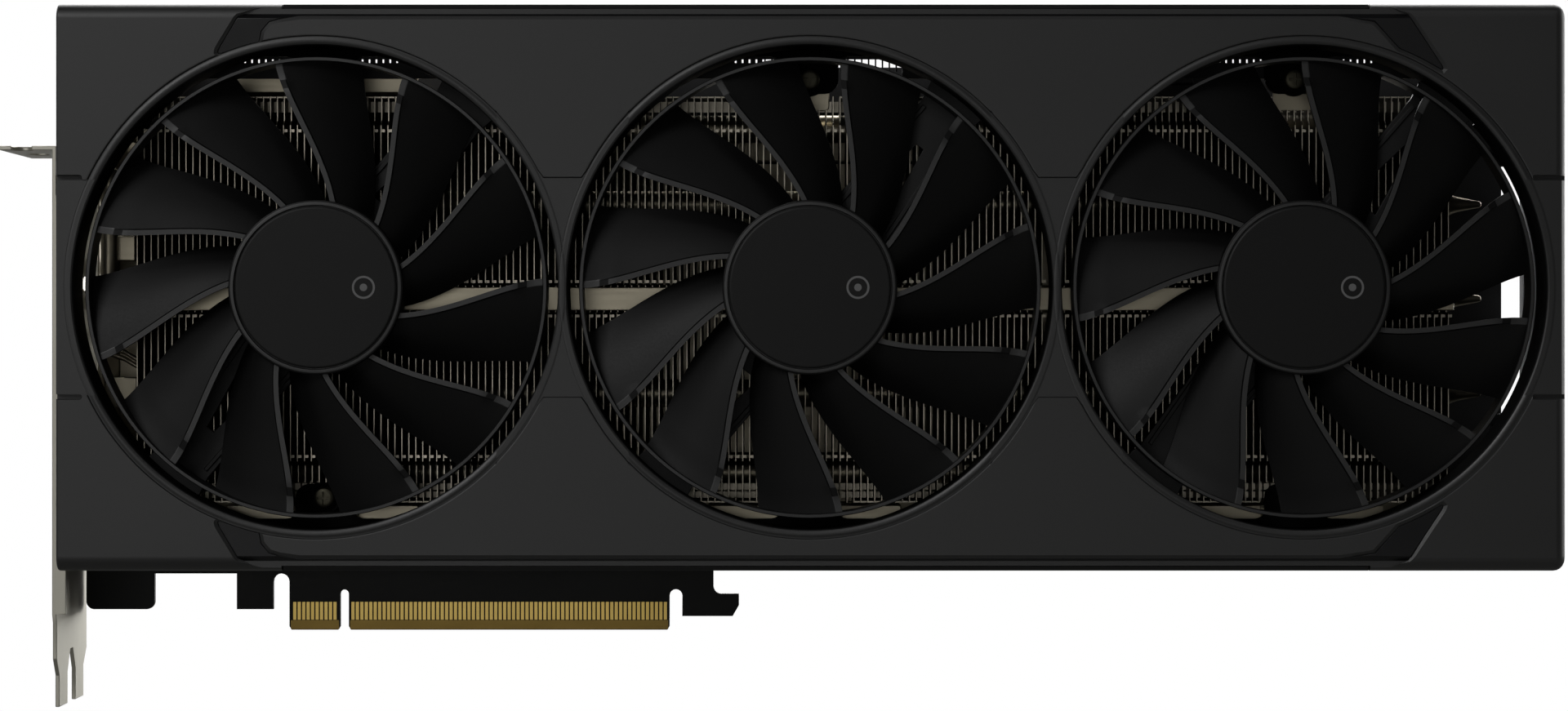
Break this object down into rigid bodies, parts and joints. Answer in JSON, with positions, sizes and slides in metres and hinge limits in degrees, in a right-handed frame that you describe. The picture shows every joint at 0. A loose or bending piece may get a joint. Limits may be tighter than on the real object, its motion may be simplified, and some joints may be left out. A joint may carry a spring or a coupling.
{
  "type": "graphics card",
  "caption": "Long add-in graphics card with a black shroud, ringed axial fans, a finned heat-pipe cooler, a backplate, a slot bracket and a gold edge connector.",
  "frame": {"origin": "middle of the bottom face of the long edge-connector tab, in the board's mid-plane", "axes": "+X along the card away from the slot bracket, +Y from the fans to the backplate, +Z away from the edge connector"},
  "size_m": [0.3352, 0.0546, 0.1509],
  "materials": {
    "shroud_plastic": "satin moulded plastic",
    "trim_plastic": "gloss moulded plastic",
    "fan_plastic": "fine moulded texture",
    "cap_plastic": "satin disc",
    "frame_plastic": "moulded plastic",
    "socket_plastic": "moulded plastic",
    "fin_aluminium": "bare stamped sheet",
    "nickel": "nickel plating",
    "steel": "plated sheet steel",
    "screw_steel": "black zinc",
    "backplate_paint": "satin powder coat",
    "board_laminate": "solder mask",
    "silicon": "polished die",
    "copper": "enamelled wire on a steel core",
    "bronze": "sintered bearing and gold-plated contacts",
    "magnet": "ferrite"
  },
  "bodies": {
    "card_body": {"shroud_shell": "shroud_plastic", "trim_top": "trim_plastic", "trim_bottom": "trim_plastic", "shroud_screw_1": "screw_steel", "shroud_screw_2": "screw_steel", "shroud_screw_3": "screw_steel", "shroud_screw_4": "screw_steel", "shroud_screw_5": "screw_steel", "shroud_screw_6": "screw_steel", "fan_left_bearing": "bronze", "fan_left_stator": "copper", "fan_left_motor_board": "board_laminate", "fan_left_frame": "frame_plastic", "fan_centre_bearing": "bronze", "fan_centre_stator": "copper", "fan_centre_motor_board": "board_laminate", "fan_centre_frame": "frame_plastic", "fan_right_bearing": "bronze", "fan_right_stator": "copper", "fan_right_motor_board": "board_laminate", "fan_right_frame": "frame_plastic", "fin_stack_left": "fin_aluminium", "fin_stack_centre": "fin_aluminium", "fin_stack_right": "fin_aluminium", "heat_pipe_1": "nickel", "heat_pipe_2": "nickel", "heat_pipe_3": "nickel", "heat_pipe_4": "nickel", "heat_pipe_5": "nickel", "fin_tie_bar": "nickel", "cold_plate": "nickel", "cooler_frame": "nickel", "circuit_board": "board_laminate", "gpu_substrate": "board_laminate", "gpu_die": "silicon", "power_socket_1": "socket_plastic", "power_socket_2": "socket_plastic", "display_socket_1": "steel", "display_socket_2": "steel", "display_socket_3": "steel", "hdmi_socket": "steel", "slot_bracket": "steel", "backplate": "backplate_paint", "retention_spring": "steel", "retention_screw_1": "screw_steel", "retention_screw_2": "screw_steel", "retention_screw_3": "screw_steel", "retention_screw_4": "screw_steel"},
    "left_fan_wheel": {"fan_left_rotor": "fan_plastic", "fan_left_cap": "cap_plastic", "fan_left_magnet_ring": "magnet", "fan_left_shaft": "steel"},
    "centre_fan_wheel": {"fan_centre_rotor": "fan_plastic", "fan_centre_cap": "cap_plastic", "fan_centre_magnet_ring": "magnet", "fan_centre_shaft": "steel"},
    "right_fan_wheel": {"fan_right_rotor": "fan_plastic", "fan_right_cap": "cap_plastic", "fan_right_magnet_ring": "magnet", "fan_right_shaft": "steel"}
  },
  "joints": [
    {"name": "left_fan_spin", "type": "hinge", "parent": "card_body", "child": "left_fan_wheel", "pos_m": [-0.0379, -0.044, 0.07594], "axis": [0, -1, 0], "continuous": true},
    {"name": "centre_fan_spin", "type": "hinge", "parent": "card_body", "child": "centre_fan_wheel", "pos_m": [0.0671, -0.044, 0.07594], "axis": [0, -1, 0], "continuous": true},
    {"name": "right_fan_spin", "type": "hinge", "parent": "card_body", "child": "right_fan_wheel", "pos_m": [0.1721, -0.044, 0.07594], "axis": [0, -1, 0], "continuous": true}
  ]
}
